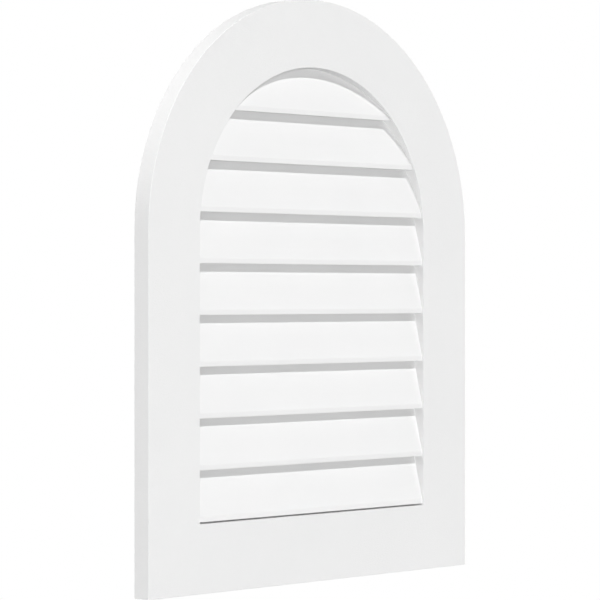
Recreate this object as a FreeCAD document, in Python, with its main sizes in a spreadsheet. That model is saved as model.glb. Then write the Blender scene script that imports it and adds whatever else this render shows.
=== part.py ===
import FreeCAD, Part
import math
import os
import Sketcher

# Round-top louvred gable vent, cut from white cellular PVC board.
# Row frame, millimetres: +Z up, the front looks along -Y, the back of the frame
# lies in the plane y = 0 and goes against the wall, x = 0 is the middle and z = 0
# is the bottom edge.

doc = FreeCAD.newDocument("gable_vent")

# ---------------------------------------------------------------- dimensions
sheet = doc.addObject("Spreadsheet::Sheet", "dims")
VALUES = [
    ("overall_width", "609.6"),     # 24 in
    ("overall_height", "762"),      # 30 in
    ("face_width", "88.9"),         # flat face of the frame, sides and arch, 3 1/2 in
    ("sill_height", "87.7"),        # flat face under the opening
    ("frame_depth", "25.4"),        # projection from the wall, 1 in
    ("edge_ease", "0.4"),           # broken front edges of the frame
    ("louver_count", "9"),
    ("louver_pitch", "65.0889"),    # from the foot of one louver to the next
    ("sill_gap", "2.2"),            # open line under the lowest louver
    ("nose_setback", "3.2"),        # nose behind the front of the frame, 1/8 in
    ("nose_height", "6.35"),        # upright strip along the foot of each louver
    ("nose_ease", "0.3"),
    ("lean_slope", "0.235"),        # lean of the face, depth over height
    ("slat_thickness", "5.0"),      # measured level, front to back
    ("slat_height", "70"),          # laps 5 mm behind the nose above it
    ("slat_back", "21.6"),          # furthest back that a slat reaches
    ("slot_depth", "6"),            # slat ends housed in the frame
    ("rebate_width", "14"),         # rebate for the screen, round the back
    ("rebate_depth", "1.6"),
    ("screen_lap", "13"),           # screen past the edge of the opening
    ("screen_thickness", "0.5"),
    ("staple_crown", "10"),
    ("staple_leg", "7"),
    ("staple_wire", "0.7"),
    ("staple_width", "1.2"),
    ("staple_round", "0.45"),
    ("staple_offset", "10"),        # staples past the edge of the opening
    ("staple_spacing", "63"),
]
for row, (alias, value) in enumerate(VALUES, start=1):
    sheet.set("A%d" % row, alias)
    sheet.set("B%d" % row, value)
    sheet.setAlias("B%d" % row, alias)
doc.recompute()


def dim(alias):
    return float(sheet.get(alias))


HALF = "dims.overall_width / 2"
OPEN_HALF = "dims.overall_width / 2 - dims.face_width"
SPRING = "dims.overall_height - dims.overall_width / 2"
half = dim("overall_width") / 2
open_half = half - dim("face_width")
spring = dim("overall_height") - half


# ---------------------------------------------------------------- sketch helpers
def plane(body, role):
    for feature in body.Origin.OriginFeatures:
        if feature.Role == role:
            return feature
    raise RuntimeError("no plane " + role)


def new_sketch(body, name, role):
    sketch = body.newObject("Sketcher::SketchObject", name)
    sketch.AttachmentSupport = [(plane(body, role), "")]
    sketch.MapMode = "FlatFace"
    return sketch


def bind(sketch, constraint, expression):
    index = sketch.addConstraint(constraint)
    sketch.setExpression("Constraints[%d]" % index, expression)
    return index


def height_from_origin(sketch, geo, point, value, expression):
    """Height of a point above the sketch's origin, written so that the number stays positive."""
    if abs(value) < 1e-9:
        sketch.addConstraint(Sketcher.Constraint("PointOnObject", geo, point, -1))
    elif value > 0:
        bind(sketch, Sketcher.Constraint("DistanceY", -1, 1, geo, point, value), expression)
    else:
        bind(sketch, Sketcher.Constraint("DistanceY", geo, point, -1, 1, -value), "-(%s)" % expression)


def draw_arch(sketch, radius, radius_expr, base, base_expr, centre, centre_expr):
    """Closed outline: level foot, two upright sides, half circle over them."""
    vec = FreeCAD.Vector
    foot = sketch.addGeometry(Part.LineSegment(vec(-radius, base, 0), vec(radius, base, 0)), False)
    right = sketch.addGeometry(Part.LineSegment(vec(radius, base, 0), vec(radius, centre, 0)), False)
    arc = sketch.addGeometry(
        Part.ArcOfCircle(Part.Circle(vec(0, centre, 0), vec(0, 0, 1), radius), 0.0, math.pi), False)
    left = sketch.addGeometry(Part.LineSegment(vec(-radius, centre, 0), vec(-radius, base, 0)), False)
    add = sketch.addConstraint
    add(Sketcher.Constraint("Coincident", foot, 2, right, 1))
    add(Sketcher.Constraint("Tangent", right, 2, arc, 1))
    add(Sketcher.Constraint("Tangent", arc, 2, left, 1))
    add(Sketcher.Constraint("Coincident", left, 2, foot, 1))
    add(Sketcher.Constraint("Horizontal", foot))
    add(Sketcher.Constraint("Vertical", right))
    add(Sketcher.Constraint("Vertical", left))
    add(Sketcher.Constraint("PointOnObject", arc, 3, -2))
    bind(sketch, Sketcher.Constraint("Radius", arc, radius), radius_expr)
    height_from_origin(sketch, arc, 3, centre, centre_expr)
    height_from_origin(sketch, foot, 1, base, base_expr)


def draw_box(sketch, reach):
    """Plain square round the origin, larger than the piece it trims."""
    vec = FreeCAD.Vector
    corner = [vec(-reach, -reach, 0), vec(reach, -reach, 0), vec(reach, reach, 0), vec(-reach, reach, 0)]
    line = [sketch.addGeometry(Part.LineSegment(corner[n], corner[(n + 1) % 4]), False) for n in range(4)]
    for n in range(4):
        sketch.addConstraint(Sketcher.Constraint("Coincident", line[n], 2, line[(n + 1) % 4], 1))
        sketch.addConstraint(Sketcher.Constraint("Horizontal" if n % 2 == 0 else "Vertical", line[n]))
    sketch.addConstraint(Sketcher.Constraint("Symmetric", line[0], 1, line[1], 2, -1, 1))
    bind(sketch, Sketcher.Constraint("DistanceX", line[0], 1, line[0], 2, 2 * reach),
         "2 * (dims.overall_width + dims.overall_height)")
    bind(sketch, Sketcher.Constraint("DistanceY", line[1], 1, line[1], 2, 2 * reach),
         "2 * (dims.overall_width + dims.overall_height)")


def edges_where(shape, test):
    names = []
    for number, edge in enumerate(shape.Edges, start=1):
        box = edge.BoundBox
        if test(box):
            names.append("Edge%d" % number)
    return names


def near(value, target):
    return abs(value - target) < 1e-4


# ---------------------------------------------------------------- louvers
# Each louver is drawn in a frame of its own, with its foot at z = 0 and the front
# plane of the vent at y = 0, and is then placed at its height in the opening.
louvers = []
count = int(dim("louver_count"))
setback = dim("nose_setback")
nose = dim("nose_height")
slope = dim("lean_slope")
thick = dim("slat_thickness")
tall = dim("slat_height")
back = dim("slat_back")

for index in range(count):
    label = "louver_%d" % (index + 1)
    body = doc.addObject("PartDesign::Body", label)
    body.Label = label
    foot_height = dim("sill_height") + dim("sill_gap") + index * dim("louver_pitch")
    foot_expr = "dims.sill_height + dims.sill_gap + %d * dims.louver_pitch" % index

    profile = new_sketch(body, label + "_profile", "YZ_Plane")
    vec = FreeCAD.Vector
    rear_foot = setback - slope * nose + thick
    bend = nose + (back - setback - thick) / slope
    corner = [
        vec(setback, 0, 0),
        vec(setback, nose, 0),
        vec(setback + slope * (tall - nose), tall, 0),
        vec(back, tall, 0),
        vec(back, bend, 0),
        vec(rear_foot, 0, 0),
    ]
    line = [profile.addGeometry(Part.LineSegment(corner[n], corner[(n + 1) % 6]), False) for n in range(6)]
    for n in range(6):
        profile.addConstraint(Sketcher.Constraint("Coincident", line[n], 2, line[(n + 1) % 6], 1))
    profile.addConstraint(Sketcher.Constraint("PointOnObject", line[0], 1, -1))
    profile.addConstraint(Sketcher.Constraint("PointOnObject", line[5], 1, -1))
    profile.addConstraint(Sketcher.Constraint("Vertical", line[0]))
    profile.addConstraint(Sketcher.Constraint("Horizontal", line[2]))
    profile.addConstraint(Sketcher.Constraint("Vertical", line[3]))
    bind(profile, Sketcher.Constraint("DistanceX", -1, 1, line[0], 1, setback), "dims.nose_setback")
    bind(profile, Sketcher.Constraint("DistanceY", -1, 1, line[0], 2, nose), "dims.nose_height")
    bind(profile, Sketcher.Constraint("DistanceX", -1, 1, line[1], 2, corner[2].x),
         "dims.nose_setback + dims.lean_slope * (dims.slat_height - dims.nose_height)")
    bind(profile, Sketcher.Constraint("DistanceY", -1, 1, line[1], 2, tall), "dims.slat_height")
    bind(profile, Sketcher.Constraint("DistanceX", -1, 1, line[2], 2, back), "dims.slat_back")
    bind(profile, Sketcher.Constraint("DistanceY", -1, 1, line[3], 2, bend),
         "dims.nose_height + (dims.slat_back - dims.nose_setback - dims.slat_thickness) / dims.lean_slope")
    bind(profile, Sketcher.Constraint("DistanceX", -1, 1, line[4], 2, rear_foot),
         "dims.nose_setback - dims.lean_slope * dims.nose_height + dims.slat_thickness")

    strip = body.newObject("PartDesign::Pad", label + "_strip")
    strip.Profile = profile
    strip.SideType = "Symmetric"
    strip.setExpression("Length", "2 * (%s + dims.slot_depth)" % OPEN_HALF)
    doc.recompute()

    ease = body.newObject("PartDesign::Fillet", label + "_ease")
    ease.Base = (strip, edges_where(
        strip.Shape,
        lambda box: near(box.YMin, setback) and near(box.YMax, setback) and near(box.ZMin, 0) and near(box.ZMax, 0)))
    ease.setExpression("Radius", "dims.nose_ease")
    doc.recompute()

    # the louvers that reach above the spring line are cut to the arch
    if foot_height + tall > spring:
        trim = new_sketch(body, label + "_trim", "XZ_Plane")
        draw_box(trim, 2 * (half + half))
        centre = spring - foot_height
        centre_expr = "%s - (%s)" % (SPRING, foot_expr)
        draw_arch(trim, open_half + dim("slot_depth"), OPEN_HALF + " + dims.slot_depth",
                  centre - dim("overall_height") / 2, centre_expr + " - dims.overall_height / 2",
                  centre, centre_expr)
        before = body.Shape.Volume
        arch_cut = body.newObject("PartDesign::Pocket", label + "_arch_cut")
        arch_cut.Profile = trim
        arch_cut.Type = "ThroughAll"
        doc.recompute()
        if not arch_cut.Shape.Volume < before - 1:
            raise RuntimeError(label + " wasn't cut to the arch")

    body.setExpression("Placement.Base.y", "-dims.frame_depth")
    body.setExpression("Placement.Base.z", foot_expr)
    louvers.append(body)
doc.recompute()

# ---------------------------------------------------------------- staples
# One wire staple: the crown lies along x, the legs point into the frame.
staple = doc.addObject("PartDesign::Body", "staple")
wire = dim("staple_wire")
crown = dim("staple_crown")
leg = dim("staple_leg")
bent = new_sketch(staple, "staple_wire_form", "XY_Plane")
vec = FreeCAD.Vector
corner = [
    vec(-crown / 2, 0, 0), vec(-crown / 2, -leg, 0), vec(-crown / 2 + wire, -leg, 0), vec(-crown / 2 + wire, -wire, 0),
    vec(crown / 2 - wire, -wire, 0), vec(crown / 2 - wire, -leg, 0), vec(crown / 2, -leg, 0), vec(crown / 2, 0, 0),
]
line = [bent.addGeometry(Part.LineSegment(corner[n], corner[(n + 1) % 8]), False) for n in range(8)]
for n in range(8):
    bent.addConstraint(Sketcher.Constraint("Coincident", line[n], 2, line[(n + 1) % 8], 1))
for n in (0, 2, 4, 6):
    bent.addConstraint(Sketcher.Constraint("Vertical", line[n]))
for n in (1, 3, 5):
    bent.addConstraint(Sketcher.Constraint("Horizontal", line[n]))
bent.addConstraint(Sketcher.Constraint("Symmetric", line[0], 1, line[7], 1, -1, 1))
bind(bent, Sketcher.Constraint("DistanceX", line[0], 1, line[7], 1, crown), "dims.staple_crown")
bind(bent, Sketcher.Constraint("DistanceY", line[0], 2, line[0], 1, leg), "dims.staple_leg")
bind(bent, Sketcher.Constraint("DistanceY", line[5], 2, line[7], 1, leg), "dims.staple_leg")
bind(bent, Sketcher.Constraint("DistanceX", line[1], 1, line[1], 2, wire), "dims.staple_wire")
bind(bent, Sketcher.Constraint("DistanceX", line[5], 1, line[5], 2, wire), "dims.staple_wire")
bind(bent, Sketcher.Constraint("DistanceY", line[3], 1, line[0], 1, wire), "dims.staple_wire")
flat = staple.newObject("PartDesign::Pad", "staple_flat")
flat.Profile = bent
flat.SideType = "Symmetric"
flat.setExpression("Length", "dims.staple_width")
doc.recompute()
bends = staple.newObject("PartDesign::Fillet", "staple_bends")
bends.Base = (flat, edges_where(
    flat.Shape,
    lambda box: near(box.YMin, 0) and near(box.YMax, 0) and near(abs(box.XMin), crown / 2) and near(box.XMin, box.XMax)))
bends.setExpression("Radius", "dims.staple_round")
doc.recompute()

# The staples follow the edge of the screen: along the sill, up both sides and over
# the arch, each a little off square, as they are driven by hand.
offset = dim("staple_offset")
spacing = dim("staple_spacing")
run_half = open_half + offset
crown_height = -dim("rebate_depth") + dim("screen_thickness") + wire
stations = []
sill_steps = int(2 * (open_half - 20) // spacing)
for n in range(sill_steps + 1):
    x = (n - sill_steps / 2) * spacing
    stations.append((x, dim("sill_height") - offset, 0.0))
side_low = dim("sill_height") + 32
side_steps = int((spring - 25 - side_low) // spacing)
for n in range(side_steps + 1):
    for side in (-1, 1):
        stations.append((side * run_half, side_low + n * spacing, 90.0))
arch_steps = int(math.radians(160) * run_half // spacing)
for n in range(arch_steps + 1):
    angle = 90 + (n - arch_steps / 2) * math.degrees(spacing / run_half)
    stations.append((run_half * math.cos(math.radians(angle)),
                     spring + run_half * math.sin(math.radians(angle)), 90.0 - angle))
copies = []
for n, (x, z, turn) in enumerate(stations):
    one = staple.Shape.copy()
    askew = ((n * 37) % 13) - 6
    one.Placement = FreeCAD.Placement(
        FreeCAD.Vector(x, crown_height, z), FreeCAD.Rotation(FreeCAD.Vector(0, 1, 0), turn + askew))
    copies.append(one)
staples = doc.addObject("Part::Feature", "screen_staples")
staples.Label = "screen_staples"
staples.Shape = Part.makeCompound(copies)
staples.Placement = FreeCAD.Placement()

# ---------------------------------------------------------------- insect screen
mesh = doc.addObject("PartDesign::Body", "screen_sheet")
outline = new_sketch(mesh, "screen_outline", "XZ_Plane")
draw_arch(outline, open_half + dim("screen_lap"), OPEN_HALF + " + dims.screen_lap",
          dim("sill_height") - dim("screen_lap"), "dims.sill_height - dims.screen_lap", spring, SPRING)
sheet_pad = mesh.newObject("PartDesign::Pad", "screen_pad")
sheet_pad.Profile = outline
sheet_pad.setExpression("Length", "dims.screen_thickness")
mesh.setExpression("Placement.Base.y", "dims.screen_thickness - dims.rebate_depth")
screen = doc.addObject("Part::Cut", "insect_screen")
screen.Label = "insect_screen"
screen.Base = mesh
screen.Tool = staples
doc.recompute()

# ---------------------------------------------------------------- face frame
blank = doc.addObject("PartDesign::Body", "frame_blank")
ring = new_sketch(blank, "frame_ring", "XZ_Plane")
draw_arch(ring, half, HALF, 0.0, "0", spring, SPRING)
draw_arch(ring, open_half, OPEN_HALF, dim("sill_height"), "dims.sill_height", spring, SPRING)
board = blank.newObject("PartDesign::Pad", "frame_board")
board.Profile = ring
board.setExpression("Length", "dims.frame_depth")
doc.recompute()

front = -dim("frame_depth")
eased = blank.newObject("PartDesign::Fillet", "frame_ease")
eased.Base = (board, edges_where(board.Shape, lambda box: near(box.YMin, front) and near(box.YMax, front)))
eased.setExpression("Radius", "dims.edge_ease")
doc.recompute()

rebate_line = new_sketch(blank, "rebate_line", "XZ_Plane")
draw_arch(rebate_line, open_half + dim("rebate_width"), OPEN_HALF + " + dims.rebate_width",
          dim("sill_height") - dim("rebate_width"), "dims.sill_height - dims.rebate_width", spring, SPRING)
before = blank.Shape.Volume
rebate = blank.newObject("PartDesign::Pocket", "screen_rebate")
rebate.Profile = rebate_line
rebate.Reversed = True
rebate.setExpression("Length", "dims.rebate_depth")
doc.recompute()
if not rebate.Shape.Volume < before - 1000:
    raise RuntimeError("the rebate wasn't cut")

# slots for the louver ends and the holes that the staples drive
housed = doc.addObject("Part::Compound", "housed_pieces")
housed.Links = louvers + [staples]
frame = doc.addObject("Part::Cut", "face_frame")
frame.Label = "face_frame"
frame.Base = blank
frame.Tool = housed
doc.recompute()

# ---------------------------------------------------------------- checks and export
for item in doc.Objects:
    if "Invalid" in item.State or "Error" in item.State:
        raise RuntimeError("%s failed: %s" % (item.Label, item.State))

pieces = [frame] + louvers + [screen, staples]
for item in pieces:
    if item.Shape.isNull() or not item.Shape.isValid():
        raise RuntimeError(item.Label + " has no valid shape")
    solids = len(item.Shape.Solids)
    if solids != (len(copies) if item is staples else 1):
        raise RuntimeError("%s has %d solids" % (item.Label, solids))

os.makedirs("parts", exist_ok=True)
for item in pieces:
    item.Shape.exportStep("parts/%s.step" % item.Label)
    box = item.Shape.BoundBox
    print("%-15s %3d solid(s) %12.1f mm3   x %8.2f %8.2f   y %7.2f %7.2f   z %7.2f %7.2f" % (
        item.Label, len(item.Shape.Solids), item.Shape.Volume,
        box.XMin, box.XMax, box.YMin, box.YMax, box.ZMin, box.ZMax))
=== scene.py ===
import math

import bpy
import numpy as np
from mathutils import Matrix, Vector


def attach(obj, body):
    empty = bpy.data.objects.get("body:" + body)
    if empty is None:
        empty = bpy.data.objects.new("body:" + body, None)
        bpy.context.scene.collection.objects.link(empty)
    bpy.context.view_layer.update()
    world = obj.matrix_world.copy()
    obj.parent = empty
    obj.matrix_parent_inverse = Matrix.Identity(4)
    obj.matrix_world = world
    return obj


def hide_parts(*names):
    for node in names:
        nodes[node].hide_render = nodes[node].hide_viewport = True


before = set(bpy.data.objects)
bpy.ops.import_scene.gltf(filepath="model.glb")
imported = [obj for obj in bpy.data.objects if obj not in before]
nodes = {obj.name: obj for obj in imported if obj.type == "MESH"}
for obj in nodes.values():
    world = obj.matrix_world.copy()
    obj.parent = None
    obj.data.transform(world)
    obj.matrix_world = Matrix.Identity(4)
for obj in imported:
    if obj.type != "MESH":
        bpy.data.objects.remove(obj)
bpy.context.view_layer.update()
scene = bpy.context.scene

# ---------------------------------------------------------------- sizes, in metres
OPEN_HALF = 0.2159          # half width of the opening, and radius of its arch
SPRING = 0.4572             # height where the arch begins
SCREEN_HALF = OPEN_HALF + 0.013
SCREEN_FOOT = 0.0877 - 0.013


# ---------------------------------------------------------------- node helpers
class Tree:
    """Short hand for building a material's nodes."""

    def __init__(self, name):
        self.material = bpy.data.materials.new(name)
        self.material.use_nodes = True
        self.tree = self.material.node_tree
        self.tree.nodes.clear()
        self.out = self.add("ShaderNodeOutputMaterial")
        self.shader = self.add("ShaderNodeBsdfPrincipled")
        self.link(self.shader.outputs["BSDF"], self.out.inputs["Surface"])
        self.place = self.add("ShaderNodeTexCoord").outputs["Object"]

    def add(self, kind, **settings):
        node = self.tree.nodes.new(kind)
        for key, value in settings.items():
            setattr(node, key, value)
        return node

    def link(self, a, b):
        self.tree.links.new(a, b)

    def stretch(self, scale):
        node = self.add("ShaderNodeMapping")
        self.link(self.place, node.inputs["Vector"])
        node.inputs["Scale"].default_value = scale
        return node.outputs["Vector"]

    def noise(self, scale, detail=3.0, rough=0.5, stretch=None):
        node = self.add("ShaderNodeTexNoise")
        self.link(self.stretch(stretch) if stretch else self.place, node.inputs["Vector"])
        node.inputs["Scale"].default_value = scale
        node.inputs["Detail"].default_value = detail
        node.inputs["Roughness"].default_value = rough
        return node.outputs["Fac"]

    def cells(self, scale, feature="F1", stretch=None):
        node = self.add("ShaderNodeTexVoronoi", feature=feature)
        self.link(self.stretch(stretch) if stretch else self.place, node.inputs["Vector"])
        node.inputs["Scale"].default_value = scale
        return node.outputs["Distance"]

    def ramp(self, value, low, high, out_low=0.0, out_high=1.0):
        node = self.add("ShaderNodeMapRange")
        self.link(value, node.inputs["Value"])
        for key, number in (("From Min", low), ("From Max", high), ("To Min", out_low), ("To Max", out_high)):
            node.inputs[key].default_value = number
        return node.outputs["Result"]

    def math(self, operation, a, b):
        node = self.add("ShaderNodeMath", operation=operation)
        for socket, value in zip(node.inputs, (a, b)):
            if isinstance(value, (int, float)):
                socket.default_value = value
            else:
                self.link(value, socket)
        return node.outputs["Value"]

    def mix_colour(self, factor, a, b):
        node = self.add("ShaderNodeMix", data_type="RGBA")
        if isinstance(factor, (int, float)):
            node.inputs[0].default_value = factor
        else:
            self.link(factor, node.inputs[0])
        for socket, value in ((node.inputs[6], a), (node.inputs[7], b)):
            if isinstance(value, tuple):
                socket.default_value = (*value, 1.0)
            else:
                self.link(value, socket)
        return node.outputs[2]

    def mix_value(self, factor, a, b):
        node = self.add("ShaderNodeMix", data_type="FLOAT")
        self.link(factor, node.inputs[0])
        for socket, value in ((node.inputs[2], a), (node.inputs[3], b)):
            if isinstance(value, (int, float)):
                socket.default_value = value
            else:
                self.link(value, socket)
        return node.outputs[0]

    def bump(self, height, strength, distance, under=None):
        node = self.add("ShaderNodeBump")
        node.inputs["Strength"].default_value = strength
        node.inputs["Distance"].default_value = distance
        self.link(height, node.inputs["Height"])
        if under is not None:
            self.link(under, node.inputs["Normal"])
        return node.outputs["Normal"]

    def facing_front(self):
        """1 on faces that look along Y, the board's own skin, and 0 on its routed edges, whose colour the frame
        material darkens as painted shade.
        """
        normal = self.add("ShaderNodeNewGeometry").outputs["True Normal"]
        split = self.add("ShaderNodeSeparateXYZ")
        self.link(normal, split.inputs["Vector"])
        along = self.math("ABSOLUTE", split.outputs["Y"], 0.0)
        return self.ramp(along, 0.55, 0.85)


# ---------------------------------------------------------------- materials
def frame_material():
    t = Tree("frame_pvc")
    skin = t.facing_front()
    cloud = t.ramp(t.noise(7.0, 4.0), 0.3, 0.7)
    speck = t.ramp(t.noise(900.0, 2.0), 0.35, 0.65)
    skin_colour = t.mix_colour(cloud, (0.842, 0.843, 0.843), (0.858, 0.858, 0.857))
    pore = t.ramp(t.cells(1500.0), 0.05, 0.45)
    # routed edges, sides and reveals: the darker colour is painted shade that tones down the bright line the eased
    # edges catch; the open-cell pores in it are real texture
    edge_pores_and_painted_shade = t.mix_colour(pore, (0.800, 0.801, 0.801), (0.842, 0.842, 0.841))
    t.link(t.mix_colour(skin, edge_pores_and_painted_shade, skin_colour), t.shader.inputs["Base Color"])
    skin_rough = t.math("ADD", t.ramp(cloud, 0.0, 1.0, 0.54, 0.61), t.ramp(speck, 0.0, 1.0, -0.03, 0.03))
    edge_rough = t.ramp(pore, 0.0, 1.0, 0.74, 0.64)
    t.link(t.mix_value(skin, edge_rough, skin_rough), t.shader.inputs["Roughness"])
    # board skin: fine orange peel; routed edge: open cells and the cutter's marks across the edge
    peel = t.noise(620.0, 3.0, 0.55)
    marks = t.noise(1.0, 2.0, 0.5, stretch=(900.0, 25.0, 900.0))
    routed = t.math("ADD", t.math("MULTIPLY", pore, 0.5), t.math("MULTIPLY", marks, 0.5))
    height = t.mix_value(skin, routed, t.math("MULTIPLY", peel, 1.5))
    t.link(t.bump(height, 0.40, 0.0006), t.shader.inputs["Normal"])
    t.shader.inputs["Specular IOR Level"].default_value = 0.3
    t.shader.inputs["IOR"].default_value = 1.5
    return t.material


def slat_material():
    t = Tree("slat_pvc")
    cloud = t.ramp(t.noise(9.0, 4.0), 0.3, 0.7)
    t.link(t.mix_colour(cloud, (0.849, 0.850, 0.850), (0.865, 0.865, 0.864)), t.shader.inputs["Base Color"])
    # drawn lengthwise: faint lines run along the slat
    lines = t.noise(1.0, 3.0, 0.55, stretch=(5.0, 700.0, 700.0))
    peel = t.noise(700.0, 2.0, 0.5)
    t.link(t.math("ADD", t.ramp(lines, 0.3, 0.7, 0.50, 0.60), t.ramp(peel, 0.3, 0.7, -0.02, 0.02)),
           t.shader.inputs["Roughness"])
    height = t.math("ADD", t.math("MULTIPLY", lines, 0.7), t.math("MULTIPLY", peel, 0.3))
    t.link(t.bump(height, 0.35, 0.0005), t.shader.inputs["Normal"])
    t.shader.inputs["Specular IOR Level"].default_value = 0.3
    t.shader.inputs["IOR"].default_value = 1.5
    return t.material


def screen_material():
    t = Tree("screen_mesh")
    dust = t.ramp(t.noise(60.0, 4.0), 0.35, 0.75)
    t.link(t.mix_colour(dust, (0.045, 0.047, 0.050), (0.085, 0.086, 0.086)), t.shader.inputs["Base Color"])
    t.link(t.ramp(t.noise(1500.0, 2.0), 0.3, 0.7, 0.42, 0.6), t.shader.inputs["Roughness"])
    t.link(t.bump(t.noise(5200.0, 2.0), 0.2, 0.0001), t.shader.inputs["Normal"])
    return t.material


def staple_material():
    t = Tree("staple_wire")
    spangle = t.ramp(t.cells(900.0), 0.1, 0.6)
    t.link(t.mix_colour(spangle, (0.50, 0.50, 0.49), (0.66, 0.66, 0.65)), t.shader.inputs["Base Color"])
    t.link(t.ramp(t.noise(2500.0, 2.0), 0.3, 0.7, 0.28, 0.46), t.shader.inputs["Roughness"])
    t.link(t.bump(t.noise(1.0, 2.0, 0.5, stretch=(6000.0, 6000.0, 900.0)), 0.15, 0.0001), t.shader.inputs["Normal"])
    t.shader.inputs["Metallic"].default_value = 1.0
    return t.material


def dress(obj, material):
    obj.data.materials.clear()
    obj.data.materials.append(material)


pvc, slat = frame_material(), slat_material()
dress(nodes["face_frame"], pvc)
for name, obj in nodes.items():
    if name.startswith("louver_"):
        dress(obj, slat)
dress(nodes["screen_staples"], staple_material())


# ---------------------------------------------------------------- insect screen
def strands():
    """Two layers of crossing strands, 18 by 16 to the inch, trimmed to the rebate's outline."""
    radius, sides, keep = 0.00014, 6, 0.0004
    points, faces = [], []

    def tube(path, across):
        """A thin tube along path; across is the axis, in the sheet, square to the strand."""
        start = len(points)
        for p in path:
            for k in range(sides):
                a = 2 * math.pi * (k + 0.5) / sides
                q = list(p)
                q[across] += radius * math.cos(a)
                q[1] += radius * math.sin(a)
                points.append(tuple(q))
        for s in range(len(path) - 1):
            for k in range(sides):
                n = (k + 1) % sides
                a, b = start + s * sides, start + (s + 1) * sides
                faces.append((a + k, a + n, b + n, b + k))
        faces.append(tuple(start + k for k in reversed(range(sides))))
        faces.append(tuple(start + (len(path) - 1) * sides + k for k in range(sides)))

    def wobble(number, s):
        return 0.00009 * (math.sin(41.0 * s + 1.7 * number) + 0.6 * math.sin(97.0 * s + 0.9 * number))

    count = int(2 * (SCREEN_HALF - 0.0006) / (0.0254 / 18))
    for n in range(count + 1):
        x = (n - count / 2) * 0.0254 / 18
        low, high = SCREEN_FOOT + keep, SPRING + math.sqrt(SCREEN_HALF ** 2 - x * x) - keep
        steps = max(4, int((high - low) / 0.04))
        tube([(x + wobble(n, z), -0.00120, z) for z in np.linspace(low, high, steps + 1)], 0)
    high = SPRING + SCREEN_HALF - 0.0012
    count = int((high - SCREEN_FOOT - 0.0008) / (0.0254 / 16))
    for n in range(count + 1):
        z = SCREEN_FOOT + 0.0008 + n * 0.0254 / 16
        half = SCREEN_HALF if z < SPRING else math.sqrt(max(SCREEN_HALF ** 2 - (z - SPRING) ** 2, 1e-6))
        half -= keep
        steps = max(3, int(2 * half / 0.04))
        tube([(x, -0.00146, z + wobble(n + 7, x)) for x in np.linspace(-half, half, steps + 1)], 2)
    mesh = bpy.data.meshes.new("insect_mesh")
    mesh.from_pydata(points, [], faces)
    mesh.validate()
    mesh.polygons.foreach_set("use_smooth", [len(p.vertices) == 4 for p in mesh.polygons])
    obj = bpy.data.objects.new("insect_mesh", mesh)
    scene.collection.objects.link(obj)
    return obj


screen = strands()
dress(screen, screen_material())
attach(screen, "root")
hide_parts("insect_screen")

# ---------------------------------------------------------------- floor, light, camera
floor_mesh = bpy.data.meshes.new("floor")
floor_mesh.from_pydata([(-40, -40, 0), (40, -40, 0), (40, 40, 0), (-40, 40, 0)], [], [(0, 1, 2, 3)])
floor = bpy.data.objects.new("floor", floor_mesh)
scene.collection.objects.link(floor)
floor.visible_diffuse = False
floor.visible_glossy = False
floor.visible_transmission = False
floor.visible_shadow = False
t = Tree("floor_paper")
t.shader.inputs["Base Color"].default_value = (0.0, 0.0, 0.0, 1.0)
t.shader.inputs["Roughness"].default_value = 0.9
t.shader.inputs["Emission Color"].default_value = (1.0, 1.0, 1.0, 1.0)
t.shader.inputs["Emission Strength"].default_value = 1.0
t.shader.inputs["Specular IOR Level"].default_value = 0.0
dress(floor, t.material)

world = bpy.data.worlds.new("studio")
scene.world = world
world.use_nodes = True
wn = world.node_tree
wn.nodes.clear()
w_out = wn.nodes.new("ShaderNodeOutputWorld")
w_mix = wn.nodes.new("ShaderNodeMixShader")
w_seen = wn.nodes.new("ShaderNodeBackground")
w_fill = wn.nodes.new("ShaderNodeBackground")
w_path = wn.nodes.new("ShaderNodeLightPath")
w_seen.inputs["Strength"].default_value = 1.0
w_seen.inputs["Color"].default_value = (1, 1, 1, 1)
w_fill.inputs["Color"].default_value = (1, 1, 1, 1)
WORLD_FILL = 0.06
DOME = (
    # direction the light comes from, how narrow, strength
    ((-0.7, -0.6, 0.25), 2.0, 0.02),
)


def dome():
    """Even light all round, with broad soft boxes added to it."""
    def step(operation, a, b, c=None):
        node = wn.nodes.new("ShaderNodeMath")
        node.operation = operation
        for socket, value in zip(node.inputs, (a, b, c)):
            if isinstance(value, (int, float)):
                socket.default_value = value
            elif value is not None:
                wn.links.new(value, socket)
        return node.outputs["Value"]

    where = wn.nodes.new("ShaderNodeTexCoord").outputs["Generated"]
    total = WORLD_FILL
    for direction, narrow, strength in DOME:
        dot = wn.nodes.new("ShaderNodeVectorMath")
        dot.operation = "DOT_PRODUCT"
        wn.links.new(where, dot.inputs[0])
        dot.inputs[1].default_value = Vector(direction).normalized()
        towards = step("POWER", step("MAXIMUM", dot.outputs["Value"], 0.0), narrow)
        total = step("MULTIPLY_ADD", towards, strength, total)
    wn.links.new(total, w_fill.inputs["Strength"])


dome()
wn.links.new(w_path.outputs["Is Camera Ray"], w_mix.inputs["Fac"])
wn.links.new(w_fill.outputs["Background"], w_mix.inputs[1])
wn.links.new(w_seen.outputs["Background"], w_mix.inputs[2])
wn.links.new(w_mix.outputs["Shader"], w_out.inputs["Surface"])


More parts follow.
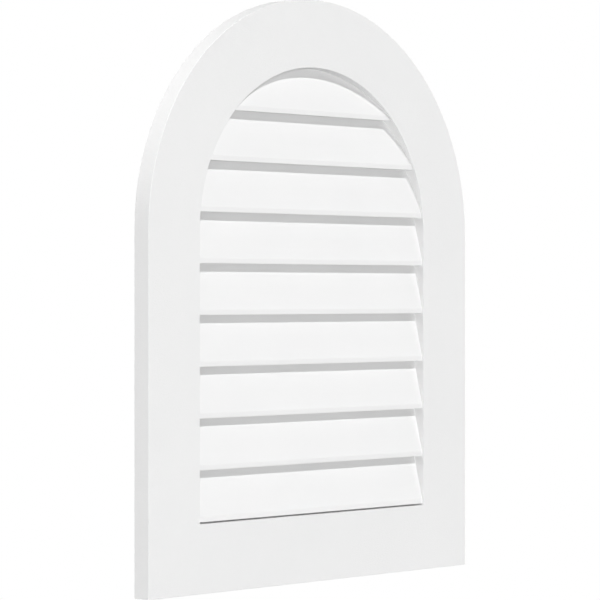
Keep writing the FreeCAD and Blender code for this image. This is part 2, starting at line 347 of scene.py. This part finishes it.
def sun(name, azimuth, elevation, strength, angle, shadow=True):
    """A light that shines towards the front from azimuth (0 is straight ahead, + to the right) and elevation."""
    data = bpy.data.lights.new(name, "SUN")
    data.energy = strength
    data.angle = math.radians(angle)
    data.use_shadow = shadow
    obj = bpy.data.objects.new(name, data)
    a, e = math.radians(azimuth), math.radians(elevation)
    source = Vector((math.sin(a) * math.cos(e), -math.cos(a) * math.cos(e), math.sin(e)))
    obj.rotation_mode = "QUATERNION"
    obj.rotation_quaternion = (-source).to_track_quat("-Z", "Y")
    obj.location = source * 3.0
    scene.collection.objects.link(obj)
    return obj


LAMPS = (
    # name, azimuth, elevation, strength, angular size, casts a shadow
    ("key", 3.0, 43.5, 1.65, 1.5, True),
    ("top_left", -95.0, 48.0, 1.97, 14.0, True),
    ("left_low", -75.0, -15.0, 0.43, 40.0, True),
    ("front_low", -25.0, -15.0, 0.84, 40.0, True),
    ("right_soft", 66.0, 10.0, 0.74, 45.0, True),
    ("under", 0.0, -70.0, 0.15, 40.0, True),
    ("right_side", 97.0, -5.0, 1.32, 10.0, True),
    ("back", 170.0, -40.0, 2.6, 20.0, True),
    ("behind", 175.0, 2.0, 0.50, 20.0, True),
)
for lamp in LAMPS:
    sun(*lamp)

# a far, large lamp to the left of the front, which lifts the shadows evenly
fill_data = bpy.data.lights.new("left_fill", "POINT")
fill_data.energy = 1500.0
fill_data.shadow_soft_size = 1.0
fill = bpy.data.objects.new("left_fill", fill_data)
fill.location = (-8.776, -8.184, 0.42)
fill.visible_camera = False
scene.collection.objects.link(fill)

camera_data = bpy.data.cameras.new("camera")
camera_data.sensor_width = 36.0
camera_data.lens = 164.06
camera_data.shift_y = -0.01014
camera_data.clip_end = 200.0
camera = bpy.data.objects.new("camera", camera_data)
camera.location = (-2.63510, -2.45611, 0.37672)
camera.rotation_mode = "QUATERNION"
camera.rotation_quaternion = Vector((0.73087, 0.68252, 0.0)).to_track_quat("-Z", "Y")
scene.collection.objects.link(camera)
scene.camera = camera

scene.view_settings.view_transform = "Standard"
scene.view_settings.look = "None"
scene.view_settings.exposure = 0.0
scene.view_settings.gamma = 1.0

# ---------------------------------------------------------------- close
bpy.context.view_layer.update()
